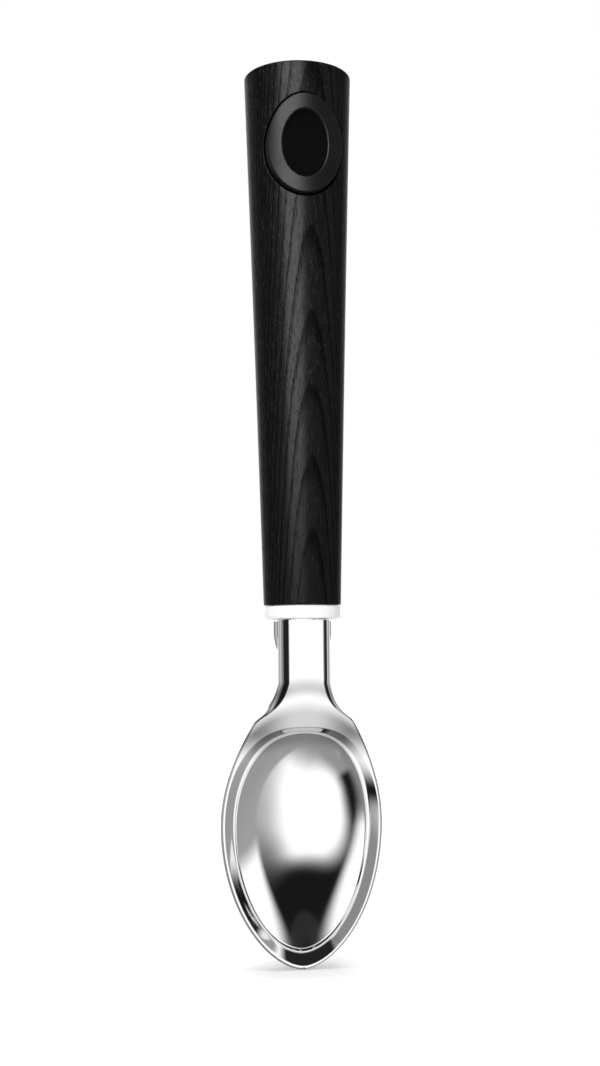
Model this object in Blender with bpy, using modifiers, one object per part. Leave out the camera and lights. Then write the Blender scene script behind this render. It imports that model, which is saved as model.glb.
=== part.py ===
# Ice cream scoop: a die-cast metal head with a two-stage hollow, a white collar, a turned ash handle
# on a glued steel tang, and an oval plastic eyelet that lines the hanging hole.
# Metres, +Z up along the handle, the bowl opens towards -Y. The origin is the centre of the hanging hole.

import bmesh
import bpy
from math import atan, cos, pi, radians, sin, sqrt
from mathutils import Matrix

MM = 0.001

# Handle
HANDLE_LENGTH = 132.1 * MM
HANDLE_END_RADIUS = 13.35 * MM
HANDLE_NOSE_RADIUS = 9.45 * MM
HANDLE_HOLLOW = 0.11 * MM
HANDLE_END_BREAK = 0.35 * MM
HANDLE_NOSE_BREAK = 0.2 * MM
HOLE_TO_END = 20.6 * MM

# Hanging hole and its eyelet
HOLE_WIDTH = 10.8 * MM
HOLE_HEIGHT = 16.4 * MM
HOLE_LIP_X = 0.75 * MM
HOLE_LIP_Z = 0.4 * MM
HOLE_LIP_DEPTH = 0.7 * MM
SLEEVE_WALL = 1.6 * MM
FLANGE_OVERHANG_X = 2.25 * MM
FLANGE_OVERHANG_Z = 2.5 * MM
FLANGE_THICKNESS = 3.6 * MM
FLANGE_PROUD = 1.0 * MM
FLANGE_FACE_RADIUS = 16.5 * MM
FLANGE_EDGE = 0.35 * MM
POCKET_GAP = 0.4 * MM
TONGUE_WALL = 0.65 * MM
TONGUE_LENGTH = 3.0 * MM

# Collar between the handle and the head
FERRULE_RADIUS = 9.3 * MM
FERRULE_HEIGHT = 3.1 * MM
FERRULE_FILLET = 0.8 * MM
FERRULE_TOP_BREAK = 0.12 * MM
FERRULE_SLEEVE_WALL = 1.5 * MM
FERRULE_SLEEVE_LENGTH = 6.0 * MM

# Steel tang
TANG_RADIUS = 3.0 * MM
TANG_LENGTH = 88.0 * MM
TANG_POINT = 0.8 * MM
TANG_GROOVES = 6
TANG_GROOVE_DEPTH = 0.4 * MM
TANG_GROOVE_WIDTH = 2.0 * MM
TANG_GROOVE_PITCH = 7.0 * MM
TANG_SEAT_DEPTH = 8.6 * MM

# Neck and boss of the head
SPIGOT_WALL = 2.0 * MM
SPIGOT_SHORT = 0.7 * MM
BOSS_RADIUS = 7.35 * MM
BOSS_BEHIND_FRONT = 0.1 * MM
BOSS_SHOULDER = 0.25 * MM
BOSS_STRAIGHT = 3.2 * MM
BOSS_TAPER_LENGTH = 13.0 * MM
BOSS_TAPER_RADIUS = 2.2 * MM
BOSS_TAPER_POWER = 1.6
NECK_LENGTH = 13.8 * MM
NECK_WIDTH = 12.8 * MM
NECK_FRONT = 6.2 * MM
NECK_BACK = 3.5 * MM
NECK_FILLET = 11.5 * MM
NECK_CORNER_POWER = 6
FLANK_WIDTH = 2.2 * MM
FLANK_DEPTH = 3.8 * MM
FLANK_FADE_START = 0.15

# Bowl
BOWL_WIDTH = 40.0 * MM
SHOULDER_LENGTH = 36.0 * MM
SHOULDER_EASE = 1.3
SHOULDER_POWER = 1.42
TOE_LENGTH = 34.7 * MM
TOE_POWER = 0.58
RIM_SET_BACK = 3.8 * MM
RIM_LOW_SHARE = 0.33
FALL_HANDLES = (0.1, 0.36)
TOE_RISE = 0.5 * MM
TOE_ANGLES = (0, 8, 16, 24, 32, 40, 47, 54, 61, 67, 73, 78, 82, 85.5)
LIP_WIDTH = 1.0 * MM
LIP_TOE_WIDTH = 1.8 * MM
LIP_EDGE_WIDTH = 0.5 * MM
LIP_EDGE_DEPTH = 0.7 * MM
MOST_EDGE_SHARE = 0.45
RECESS_TOP = 24.0 * MM
RECESS_TOP_POWER = 0.37
RIDGE_TOP_POWER = 0.44
RIDGE_TOE_POWER = 0.54
COVE_WIDTH = 2.85 * MM
COVE_TOP_WIDTH = 1.5 * MM
COVE_TOE_WIDTH = 2.7 * MM
COVE_TOP_DEPTH = 1.2 * MM
COVE_TOE_DEPTH = 2.6 * MM
BOWL_DEPTH = 8.0 * MM
BOWL_POINT = 1.5
BOWL_WALL = 3.0 * MM
TOE_WALL = 1.6 * MM
BACK_FULLNESS = 2.2

# Clearances and facets
GAP = 0.3 * MM
GLUE_ROOM = 1.0 * MM
THROUGH = 3.0 * MM
TURN_STEPS = 60
TANG_STEPS = 24
OVAL_STEPS = 48
BACK_STEPS = 16
CUT_STEPS = 64

# Places that follow from the sizes, heights from the hole's centre
NOSE_Z = HOLE_TO_END - HANDLE_LENGTH
FERRULE_TOP_Z = NOSE_Z - GAP
HEAD_Z = FERRULE_TOP_Z - FERRULE_HEIGHT - GAP
TAPER = atan((HANDLE_END_RADIUS - HANDLE_NOSE_RADIUS) / HANDLE_LENGTH)

# Sizes that follow from a neighbour
TANG_BORE_RADIUS = TANG_RADIUS + GAP
SPIGOT_RADIUS = TANG_BORE_RADIUS + SPIGOT_WALL
FERRULE_BORE_RADIUS = SPIGOT_RADIUS + GAP
FERRULE_SLEEVE_RADIUS = FERRULE_BORE_RADIUS + FERRULE_SLEEVE_WALL
COUNTERBORE_RADIUS = FERRULE_SLEEVE_RADIUS + GAP
COUNTERBORE_DEPTH = FERRULE_SLEEVE_LENGTH
SPIGOT_LENGTH = GAP + FERRULE_HEIGHT + FERRULE_SLEEVE_LENGTH - SPIGOT_SHORT
TANG_FOOT_Z = HEAD_Z - TANG_SEAT_DEPTH + GAP
TANG_TOP_Z = TANG_FOOT_Z + TANG_LENGTH
HOLE_A = HOLE_WIDTH / 2
HOLE_B = HOLE_HEIGHT / 2
WIDEST = NECK_LENGTH + SHOULDER_LENGTH
TIP = WIDEST + TOE_LENGTH
RIM_LOW = WIDEST + TOE_LENGTH * RIM_LOW_SHARE
BOSS_SET_BACK = BOSS_RADIUS - NECK_FRONT + BOSS_BEHIND_FRONT


def clear_scene():
    for thing in list(bpy.data.objects):
        bpy.data.objects.remove(thing, do_unlink=True)


def new_collection(name):
    group = bpy.data.collections.new(name)
    bpy.context.scene.collection.children.link(group)
    return group


def finish(name, colour, roughness, metallic=0.0):
    material = bpy.data.materials.new(name)
    material.use_nodes = True
    shader = material.node_tree.nodes["Principled BSDF"]
    shader.inputs["Base Color"].default_value = (*colour, 1.0)
    shader.inputs["Roughness"].default_value = roughness
    shader.inputs["Metallic"].default_value = metallic
    material.diffuse_color = (*colour, 1.0)
    return material


def object_from(name, mesh_data, group, parent, location=(0.0, 0.0, 0.0), material=None):
    mesh = bpy.data.meshes.new(name)
    mesh_data.to_mesh(mesh)
    mesh_data.free()
    made = bpy.data.objects.new(name, mesh)
    made.location = location
    made.parent = parent
    group.objects.link(made)
    if material:
        mesh.materials.append(material)
    else:
        made.hide_render = True
        made.display_type = "WIRE"
    return made


def smooth(made, angle=radians(32)):
    made.data.shade_smooth()
    made.data.set_sharp_from_angle(angle=angle)


def turned(name, profile, group, parent, location, material=None, steps=TURN_STEPS):
    # The profile runs down the outer side at +X, from the top of the axis to its foot.
    sheet = bmesh.new()
    points = [sheet.verts.new((radius, 0.0, height)) for radius, height in profile]
    for first, second in zip(points, points[1:]):
        sheet.edges.new((first, second))
    made = object_from(name, sheet, group, parent, location, material)
    screw = made.modifiers.new("Turn", "SCREW")
    screw.steps = steps
    screw.render_steps = steps
    screw.use_merge_vertices = True
    screw.merge_threshold = 0.00001
    screw.use_smooth_shade = True
    return made


def rod_profile(radius, top, foot):
    return [(0.0, top), (radius, top), (radius, foot), (0.0, foot)]


def oval(name, half_width, half_height, front, back, group, parent):
    # An oval bar along Y, from the place called front (at -Y) to the one called back.
    shape = bmesh.new()
    bmesh.ops.create_cone(
        shape,
        cap_ends=True,
        segments=OVAL_STEPS,
        radius1=1.0,
        radius2=1.0,
        depth=back - front,
        matrix=Matrix.Translation((0.0, (front + back) / 2, 0.0)) @ Matrix.Rotation(-pi / 2, 4, "X"),
    )
    bmesh.ops.scale(shape, vec=(half_width, 1.0, half_height), verts=shape.verts)
    return object_from(name, shape, group, parent)


def boolean(target, tool, operation):
    step = target.modifiers.new(f"{operation.title()} {tool.name}", "BOOLEAN")
    step.operation = operation
    step.object = tool
    step.solver = "EXACT"
    return step


def skinned(name, rings, group, parent, location, material=None, ends="caps", pole=None):
    # Skins rings with the same number of points. Its ends are two caps, a cap and a pole, or
    # none, where the last ring joins the first.
    skin = bmesh.new()
    rows = [[skin.verts.new(point) for point in ring] for ring in rings]
    count = len(rows[0])
    pairs = list(zip(rows, rows[1:]))
    if ends == "joined":
        pairs.append((rows[-1], rows[0]))
    else:
        skin.faces.new(rows[0])
    for upper, lower in pairs:
        for index in range(count):
            after = (index + 1) % count
            skin.faces.new((upper[index], upper[after], lower[after], lower[index]))
    if ends == "caps":
        skin.faces.new(rows[-1])
    if ends == "pole":
        tip = skin.verts.new(pole)
        for index in range(count):
            skin.faces.new((rows[-1][index], rows[-1][(index + 1) % count], tip))
    bmesh.ops.recalc_face_normals(skin, faces=skin.faces)
    return object_from(name, skin, group, parent, location, material)


# Handle


def handle_radius(height):
    # The side runs almost straight from the nose to the end, a little hollow halfway.
    share = height / HANDLE_LENGTH
    chord = HANDLE_NOSE_RADIUS + (HANDLE_END_RADIUS - HANDLE_NOSE_RADIUS) * share
    return chord - HANDLE_HOLLOW * 4 * share * (1 - share)


def build_handle(group, cutters, parent, material):
    stations = 6
    top = HANDLE_LENGTH - HANDLE_END_BREAK
    rise = (top - HANDLE_NOSE_BREAK) / stations
    side = [HANDLE_NOSE_BREAK + rise * k for k in range(stations, -1, -1)]
    bore_top = TANG_TOP_Z + GLUE_ROOM - NOSE_Z
    profile = [(0.0, HANDLE_LENGTH), (handle_radius(top) - HANDLE_END_BREAK, HANDLE_LENGTH)]
    profile += [(handle_radius(height), height) for height in side]
    profile += [
        (handle_radius(0.0) - HANDLE_NOSE_BREAK, 0.0),
        (COUNTERBORE_RADIUS, 0.0),
        (COUNTERBORE_RADIUS, COUNTERBORE_DEPTH),
        (TANG_BORE_RADIUS, COUNTERBORE_DEPTH),
        (TANG_BORE_RADIUS, bore_top),
        (0.0, bore_top + TANG_BORE_RADIUS / 2),
    ]
    handle = turned("handle", profile, group, parent, (0.0, 0.0, NOSE_Z), material)

    reach = HANDLE_END_RADIUS + THROUGH
    sleeve_a = HOLE_A + SLEEVE_WALL + GAP
    sleeve_b = HOLE_B + SLEEVE_WALL + GAP
    cross = oval("hang_hole_cutter", sleeve_a, sleeve_b, -reach, reach, cutters, parent)
    boolean(handle, cross, "DIFFERENCE")

    # The two pockets are an oval bar without its core, which leaves a curved seat under each flange.
    pocket_a, pocket_b = (half + POCKET_GAP for half in flange_halves())
    pocket = oval("pocket_cutter", pocket_a, pocket_b, -reach, reach, cutters, parent)
    core_radius, core_end = seat_radius() - GAP, pocket_b + THROUGH
    core = rod_profile(core_radius, core_end, -core_end)
    floor = turned("pocket_floor_cutter", core, cutters, parent, (0.0, 0.0, 0.0))
    boolean(pocket, floor, "DIFFERENCE")
    boolean(handle, pocket, "DIFFERENCE")
    return handle


def flange_halves():
    return (
        HOLE_A + SLEEVE_WALL + FLANGE_OVERHANG_X,
        HOLE_B + SLEEVE_WALL + FLANGE_OVERHANG_Z,
    )


def hole_radius():
    # The handle's radius beside the hole's centre.
    return handle_radius(-NOSE_Z)


def flange_face():
    # How far the flange's face stands in front of the handle's axis.
    return hole_radius() + FLANGE_PROUD


def seat_radius():
    # The curved underside of the flanges, round the handle's axis.
    return flange_face() - FLANGE_THICKNESS


# Eyelet: each half is one skin, drawn round the hole through a closed path of ovals


def oval_ring(grow_x, grow_z, place):
    # An oval that is larger than the hole by grow_x and grow_z. place gives each point its y.
    points = []
    for step in range(OVAL_STEPS):
        turn = 2 * pi * step / OVAL_STEPS
        across = (HOLE_A + grow_x) * cos(turn)
        up = (HOLE_B + grow_z) * sin(turn)
        points.append((across, place(across, up), up))
    return points


def face_at(across, up):
    # The flange's domed face. It leans with the handle, so it stands equally proud above and
    # below the hole.
    dome = FLANGE_FACE_RADIUS - sqrt(FLANGE_FACE_RADIUS**2 - across**2)
    return -flange_face() + dome - up * sin(TAPER)


def seat_at(across, up):
    return -sqrt(seat_radius() ** 2 - across**2)


def eyelet_rings(tongue):
    wide, tall = SLEEVE_WALL + FLANGE_OVERHANG_X, SLEEVE_WALL + FLANGE_OVERHANG_Z
    middle = -GAP / 2
    if tongue:
        step_wall, foot = TONGUE_WALL, TONGUE_LENGTH
    else:
        step_wall, foot = TONGUE_WALL + GAP, -TONGUE_LENGTH - GAP

    def level(y):
        return lambda across, up: y

    def face_down(drop):
        return lambda across, up: face_at(across, up) + drop

    rings = [oval_ring(0.0, 0.0, level(foot))]
    lip_steps = 3
    for step in range(lip_steps, -1, -1):
        swing = pi / 2 * step / lip_steps
        share = 1 - sin(swing)
        drop = HOLE_LIP_DEPTH * (1 - cos(swing))
        rings.append(oval_ring(HOLE_LIP_X * share, HOLE_LIP_Z * share, face_down(drop)))
    edge_steps = 2
    inner_x, inner_z = wide - FLANGE_EDGE, tall - FLANGE_EDGE
    halfway_x, halfway_z = (HOLE_LIP_X + inner_x) / 2, (HOLE_LIP_Z + inner_z) / 2
    rings.append(oval_ring(halfway_x, halfway_z, face_down(0.0)))
    for step in range(edge_steps + 1):
        swing = pi / 2 * step / edge_steps
        out, drop = FLANGE_EDGE * sin(swing), FLANGE_EDGE * (1 - cos(swing))
        rings.append(oval_ring(inner_x + out, inner_z + out, face_down(drop)))
    rings.append(oval_ring(wide, tall, seat_at))
    rings.append(oval_ring((wide + SLEEVE_WALL) / 2, (tall + SLEEVE_WALL) / 2, seat_at))
    rings.append(oval_ring(SLEEVE_WALL, SLEEVE_WALL, seat_at))
    rings.append(oval_ring(SLEEVE_WALL, SLEEVE_WALL, level(middle)))
    rings.append(oval_ring(step_wall, step_wall, level(middle)))
    rings.append(oval_ring(step_wall, step_wall, level(foot)))
    return rings


def build_eyelet_half(name, tongue, group, parent, material):
    # Made facing -Y. The front half has a tongue, and the rear half the rebate that takes it.
    half = skinned(name, eyelet_rings(tongue), group, parent, (0.0, 0.0, 0.0), material, "joined")
    smooth(half)
    return half


# Collar


def build_ferrule(group, parent, material):
    fillet_steps = 4
    profile = [
        (FERRULE_BORE_RADIUS, FERRULE_SLEEVE_LENGTH - GAP),
        (FERRULE_SLEEVE_RADIUS, FERRULE_SLEEVE_LENGTH - GAP),
        (FERRULE_SLEEVE_RADIUS, 0.0),
        (FERRULE_RADIUS - FERRULE_TOP_BREAK, 0.0),
        (FERRULE_RADIUS, -FERRULE_TOP_BREAK),
    ]
    for step in range(fillet_steps + 1):
        turn = pi / 2 * step / fillet_steps
        radius = FERRULE_RADIUS - FERRULE_FILLET * (1 - cos(turn))
        profile.append((radius, -FERRULE_HEIGHT + FERRULE_FILLET * (1 - sin(turn))))
    profile.append((FERRULE_BORE_RADIUS, -FERRULE_HEIGHT))
    # A ring's profile ends where it starts, so its last edge is the bore.
    profile.append(profile[0])
    return turned("ferrule", profile, group, parent, (0.0, 0.0, FERRULE_TOP_Z), material)


# Tang


def build_tang(group, parent, material):
    # A rod with glue grooves over its upper part; its foot is plain where the boss grips it.
    floor = TANG_RADIUS - TANG_GROOVE_DEPTH
    profile = [
        (0.0, TANG_LENGTH),
        (TANG_RADIUS - TANG_POINT, TANG_LENGTH),
        (TANG_RADIUS, TANG_LENGTH - TANG_POINT),
    ]
    for number in range(TANG_GROOVES):
        top = TANG_LENGTH - TANG_GROOVE_PITCH * (number + 1)
        profile += [
            (TANG_RADIUS, top),
            (floor, top - TANG_GROOVE_DEPTH),
            (floor, top - TANG_GROOVE_WIDTH + TANG_GROOVE_DEPTH),
            (TANG_RADIUS, top - TANG_GROOVE_WIDTH),
        ]
    profile += [(TANG_RADIUS, TANG_POINT), (TANG_RADIUS - TANG_POINT, 0.0), (0.0, 0.0)]
    return turned("tang", profile, group, parent, (0.0, 0.0, TANG_FOOT_Z), material, TANG_STEPS)


# Head: depths below its top face are positive, fronts are measured forward of the handle's axis


def smooth_share(value):
    value = min(max(value, 0.0), 1.0)
    return value * value * (3 - 2 * value)


def lens(offset, half_length, half_width, power):
    # Half the width of an egg outline, at an offset from its widest line.
    return half_width * max(1 - (offset / half_length) ** 2, 0.0) ** power


def neck_half_width(depth):
    # The parallel neck and the fillet below it, which spreads without end past its own radius.
    past = max(depth - NECK_LENGTH, 0.0)
    if past >= NECK_FILLET:
        return BOWL_WIDTH
    return NECK_WIDTH / 2 + NECK_FILLET - sqrt(NECK_FILLET**2 - past**2)


def egg_half_width(depth):
    below = depth - WIDEST
    if below > 0:
        return lens(below, TOE_LENGTH, BOWL_WIDTH / 2, TOE_POWER)
    return lens(below, SHOULDER_LENGTH * SHOULDER_EASE, BOWL_WIDTH / 2, SHOULDER_POWER)


def half_width_at(depth):
    # The plan outline of the front: it has a corner where the fillet meets the egg.
    if depth <= NECK_LENGTH:
        return NECK_WIDTH / 2
    if depth > NECK_LENGTH + NECK_FILLET:
        return egg_half_width(depth)
    return max(min(neck_half_width(depth), egg_half_width(depth)), NECK_WIDTH / 2)


def eased_half_width_at(depth):
    # The same outline without the corner, for the back.
    if depth <= NECK_LENGTH:
        return NECK_WIDTH / 2
    neck, egg = neck_half_width(depth), egg_half_width(depth)
    fade = smooth_share((depth - NECK_LENGTH) / NECK_FILLET)
    eased = (neck**-NECK_CORNER_POWER + egg**-NECK_CORNER_POWER) ** (-1 / NECK_CORNER_POWER)
    return half_width_at(depth) * (1 - fade) + eased * fade


def front_at(depth):
    # The face line in side view: upright on the neck, falling back over the shoulder, then
    # almost upright again along the rim, which comes forward a little at the toe.
    if depth <= NECK_LENGTH:
        return NECK_FRONT
    if depth >= RIM_LOW:
        return -RIM_SET_BACK + TOE_RISE * smooth_share((depth - RIM_LOW) / (TIP - RIM_LOW))
    reach = RIM_LOW - NECK_LENGTH
    first, second = (handle * reach for handle in FALL_HANDLES)
    lower, upper = 0.0, 1.0
    for _ in range(30):
        share = (lower + upper) / 2
        rest = 1 - share
        place = 3 * rest**2 * share * first + 3 * rest * share**2 * second + share**3 * reach
        if place < depth - NECK_LENGTH:
            lower = share
        else:
            upper = share
    fall = 3 * (1 - share) * share**2 + share**3
    return NECK_FRONT - (NECK_FRONT + RIM_SET_BACK) * fall


def edge_at(depth):
    # Width and depth of the bevel along the front edge: the neck's flank, thinning to the lip.
    start = NECK_LENGTH + FLANK_FADE_START * NECK_FILLET
    end = NECK_LENGTH + NECK_FILLET
    share = min(max((depth - start) / (end - start), 0.0), 1.0) ** 3
    width = FLANK_WIDTH + (LIP_EDGE_WIDTH - FLANK_WIDTH) * share
    deep = FLANK_DEPTH + (LIP_EDGE_DEPTH - FLANK_DEPTH) * share
    return width, deep


def side_at(depth):
    # Where the bevel ends and the back starts.
    return front_at(depth) - edge_at(depth)[1]


def back_depth_at(depth):
    # How far the back lies behind that line.
    full = (COVE_TOP_DEPTH + COVE_TOE_DEPTH) / 2 + BOWL_DEPTH + BOWL_WALL - LIP_EDGE_DEPTH
    below = depth - WIDEST
    if below > 0:
        return (lens(below, TOE_LENGTH, full, TOE_POWER) ** 4 + TOE_WALL**4) ** 0.25
    deepest = full - side_at(WIDEST)
    fall = smooth_share((depth - NECK_LENGTH) / SHOULDER_LENGTH)
    return side_at(depth) + NECK_BACK + (deepest - NECK_BACK) * fall


def head_section(depth):
    # One level section: flat front, two bevels, and a rounded back.
    half = half_width_at(depth)
    eased = eased_half_width_at(depth)
    front = front_at(depth)
    side = side_at(depth)
    edge = min(edge_at(depth)[0], MOST_EDGE_SHARE * half)
    behind = back_depth_at(depth)
    ring = [(half - edge, -front, -depth)]
    for step in range(BACK_STEPS + 1):
        turn = pi * step / BACK_STEPS
        across = abs(cos(turn)) ** (2 / BACK_FULLNESS) * (1 if cos(turn) >= 0 else -1)
        away = abs(sin(turn)) ** (2 / BACK_FULLNESS)
        ring.append(((half + (eased - half) * away) * across, -side + behind * away, -depth))
    ring.append((edge - half, -front, -depth))
    return ring


def head_levels():
    fillet_end = NECK_LENGTH + NECK_FILLET
    levels = [NECK_LENGTH * k / 3 for k in range(3)]
    levels += [NECK_LENGTH + NECK_FILLET * k / 8 for k in range(8)]
    levels += [fillet_end + (WIDEST - fillet_end) * k / 11 for k in range(11)]
    levels += [WIDEST + TOE_LENGTH * sin(radians(angle)) for angle in TOE_ANGLES]
    return levels


def recess_outline(turn):
    # A point (across, below the widest line) of the outer edge of the recess. turn is 0 at the top.
    half = BOWL_WIDTH / 2 - LIP_WIDTH
    toe = TOE_LENGTH - LIP_TOE_WIDTH
    return egg_point(turn, half, RECESS_TOP, RECESS_TOP_POWER, toe, TOE_POWER)


def ridge_outline(turn):
    # The same for the inner ridge, where the cove ends and the deep bowl starts.
    half = BOWL_WIDTH / 2 - LIP_WIDTH - COVE_WIDTH
    toe = TOE_LENGTH - LIP_TOE_WIDTH - COVE_TOE_WIDTH
    top = RECESS_TOP - COVE_TOP_WIDTH
    return egg_point(turn, half, top, RIDGE_TOP_POWER, toe, RIDGE_TOE_POWER)


def egg_point(turn, half, top, top_power, toe, toe_power):
    length, power = (top, top_power) if cos(turn) > 0 else (toe, toe_power)
    below = -length * cos(turn)
    across = half * max(sin(turn) ** 2, 0.0) ** power
    return (across if sin(turn) >= 0 else -across), below


def cove_depth(turn):
    share = (1 + cos(turn)) / 2
    return COVE_TOP_DEPTH * share + COVE_TOE_DEPTH * (1 - share)


def bowl_sink(share):
    # How much of its depth the bowl has reached, where this share of the way out to the ridge is
    # left. It lies between a cone and a round dish, so no part of it is steeper than 40 degrees.
    return 1 - (sqrt(1 + BOWL_POINT * share**2) - 1) / (sqrt(1 + BOWL_POINT) - 1)


def hollow_rings():
    # Rings of the cutter, from in front of the rim, down the cove to the ridge, and on to the
    # floor of the bowl. Points are (across, y, height below the head's top face).
    turns = [2 * pi * k / CUT_STEPS for k in range(CUT_STEPS)]
    rings = [[], []]
    for turn in turns:
        across, below = recess_outline(turn)
        depth = WIDEST + below
        rings[0].append((across, -NECK_FRONT - 2 * THROUGH, -depth))
        rings[1].append((across, -front_at(depth), -depth))
    cove_steps = 5
    for step in range(1, cove_steps + 1):
        swing = pi / 2 * step / cove_steps
        ring = []
        for turn in turns:
            outer, inner = recess_outline(turn), ridge_outline(turn)
            share = 1 - cos(swing)
            across = outer[0] + (inner[0] - outer[0]) * share
            depth = WIDEST + outer[1] + (inner[1] - outer[1]) * share
            ring.append((across, -front_at(depth) + cove_depth(turn) * sin(swing), -depth))
        rings.append(ring)
    bowl_steps = 9
    middle_cove = (COVE_TOP_DEPTH + COVE_TOE_DEPTH) / 2
    for step in range(1, bowl_steps):
        share = cos(pi / 2 * step / bowl_steps)
        ring = []
        for turn in turns:
            across, below = ridge_outline(turn)
            depth = WIDEST + below * share
            ledge = middle_cove + (cove_depth(turn) - middle_cove) * share
            sunk = ledge + BOWL_DEPTH * bowl_sink(share)
            ring.append((across * share, sunk - front_at(depth), -depth))
        rings.append(ring)
    pole = (0.0, -front_at(WIDEST) + middle_cove + BOWL_DEPTH, -WIDEST)
    return rings, pole


def boss_profile():
    # The round boss, a little behind the neck's front face. Its taper sinks into the neck's back.
    profile = [(0.0, -BOSS_SHOULDER), (BOSS_RADIUS, -BOSS_SHOULDER)]
    taper_steps = 6
    for step in range(taper_steps + 1):
        share = step / taper_steps
        radius = BOSS_RADIUS - (BOSS_RADIUS - BOSS_TAPER_RADIUS) * share**BOSS_TAPER_POWER
        profile.append((radius, -BOSS_STRAIGHT - BOSS_TAPER_LENGTH * share))
    profile.append((0.0, -BOSS_STRAIGHT - BOSS_TAPER_LENGTH))
    return profile


def build_head(group, cutters, parent, material):
    place = (0.0, 0.0, HEAD_Z)
    levels = head_levels()
    sections = [head_section(depth) for depth in levels]
    head = skinned("scoop_head", sections, group, parent, place, material)

    set_back = (0.0, BOSS_SET_BACK, HEAD_Z)
    boss = turned("boss", boss_profile(), cutters, parent, set_back)
    boolean(head, boss, "UNION")
    # The spigot carries the collar. Its foot lies inside the neck.
    spigot = turned(
        "spigot", rod_profile(SPIGOT_RADIUS, SPIGOT_LENGTH, -BOSS_STRAIGHT), cutters, parent, place
    )
    boolean(head, spigot, "UNION")

    rings, pole = hollow_rings()
    hollow = skinned("hollow_cutter", rings, cutters, parent, place, ends="pole", pole=pole)
    boolean(head, hollow, "DIFFERENCE")

    seat_profile = rod_profile(TANG_BORE_RADIUS, SPIGOT_LENGTH + THROUGH, -TANG_SEAT_DEPTH)
    seat = turned("tang_seat_cutter", seat_profile, cutters, parent, place)
    boolean(head, seat, "DIFFERENCE")
    return head


def main():
    clear_scene()
    scoop = new_collection("ice_cream_scoop")
    cutters = new_collection("cutters")
    root = bpy.data.objects.new("scoop_axis", None)
    root.empty_display_size = HANDLE_END_RADIUS
    scoop.objects.link(root)

    chrome = finish("polished_cast_metal", (0.78, 0.79, 0.8), 0.08, 1.0)
    ash = finish("black_stained_ash", (0.022, 0.021, 0.02), 0.5)
    eyelet = finish("black_moulded_plastic", (0.016, 0.016, 0.017), 0.42)
    collar = finish("white_moulded_plastic", (0.86, 0.86, 0.85), 0.35)
    steel = finish("plain_steel", (0.5, 0.5, 0.51), 0.35, 1.0)

    smooth(build_head(scoop, cutters, root, chrome))
    build_ferrule(scoop, root, collar)
    build_tang(scoop, root, steel)
    build_handle(scoop, cutters, root, ash)
    build_eyelet_half("eyelet_front", True, scoop, root, eyelet)
    rear = build_eyelet_half("eyelet_rear", False, scoop, root, eyelet)
    rear.rotation_euler = (0.0, 0.0, pi)


main()
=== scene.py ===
import math

import bmesh
import bpy
import numpy as np
from mathutils import Matrix, Vector


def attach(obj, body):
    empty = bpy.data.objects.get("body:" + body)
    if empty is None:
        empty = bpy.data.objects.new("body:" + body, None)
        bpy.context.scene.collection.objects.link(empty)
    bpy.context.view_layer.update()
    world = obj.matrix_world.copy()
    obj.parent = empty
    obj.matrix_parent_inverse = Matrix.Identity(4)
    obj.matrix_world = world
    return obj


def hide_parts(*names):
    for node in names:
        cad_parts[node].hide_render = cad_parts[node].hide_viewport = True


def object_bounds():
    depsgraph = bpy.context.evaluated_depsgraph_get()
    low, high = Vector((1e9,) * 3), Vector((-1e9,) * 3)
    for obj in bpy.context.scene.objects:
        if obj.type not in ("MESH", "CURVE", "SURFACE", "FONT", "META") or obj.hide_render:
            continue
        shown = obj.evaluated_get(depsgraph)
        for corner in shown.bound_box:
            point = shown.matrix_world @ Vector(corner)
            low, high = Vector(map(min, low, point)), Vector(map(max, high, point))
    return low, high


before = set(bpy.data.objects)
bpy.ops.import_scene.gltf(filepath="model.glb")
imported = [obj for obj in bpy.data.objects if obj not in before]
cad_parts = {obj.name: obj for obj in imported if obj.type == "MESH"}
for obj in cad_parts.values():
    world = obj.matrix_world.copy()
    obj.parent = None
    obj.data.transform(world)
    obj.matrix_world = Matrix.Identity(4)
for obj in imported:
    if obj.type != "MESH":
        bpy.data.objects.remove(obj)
cadBox = [list(corner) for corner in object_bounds()]
mm = 0.001
print("frame loaded:", ", ".join(sorted(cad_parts)))

# Camera: a 50 mm lens a little under 0.4 m away, level with the neck and tipped up

camera = {
    "lens": 50.0,
    "distance": 362.5 * mm,
    "height": -123.9 * mm,
    "turn": 8.45,  # degrees round the handle, towards its left side
    "tip": 4.75,
    "roll": 0.58,
    "shift": -0.0015,
}


def makeCamera():
    turn = math.radians(camera["turn"])
    data = bpy.data.cameras.new("camera")
    data.lens = camera["lens"]
    data.shift_x = camera["shift"]
    shooter = bpy.data.objects.new("camera", data)
    bpy.context.scene.collection.objects.link(shooter)
    shooter.location = (
        -camera["distance"] * math.sin(turn),
        -camera["distance"] * math.cos(turn),
        camera["height"],
    )
    level = Matrix.Rotation(-turn, 4, "Z")
    tipped = level @ Matrix.Rotation(math.radians(90 + camera["tip"]), 4, "X")
    rolled = tipped @ Matrix.Rotation(-math.radians(camera["roll"]), 4, "Z")
    shooter.rotation_euler = rolled.to_euler()
    bpy.context.scene.camera = shooter
    bpy.context.scene.view_settings.view_transform = "Standard"


makeCamera()


# Mesh helpers


def fullTurn(steps):
    return [2 * math.pi * k / steps for k in range(steps)]


def quarterTurn(steps):
    return [math.pi / 2 * k / steps for k in range(steps + 1)]


def addPiece(name, points, faces):
    mesh = bpy.data.meshes.new(name)
    mesh.from_pydata([tuple(float(value) for value in point) for point in points], [], faces)
    piece = bpy.data.objects.new(name, mesh)
    bpy.context.scene.collection.objects.link(piece)
    return piece


def faceOut(piece):
    sheet = bmesh.new()
    sheet.from_mesh(piece.data)
    bmesh.ops.remove_doubles(sheet, verts=sheet.verts, dist=1e-7)
    bmesh.ops.recalc_face_normals(sheet, faces=sheet.faces)
    sheet.to_mesh(piece.data)
    sheet.free()
    return piece


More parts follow.
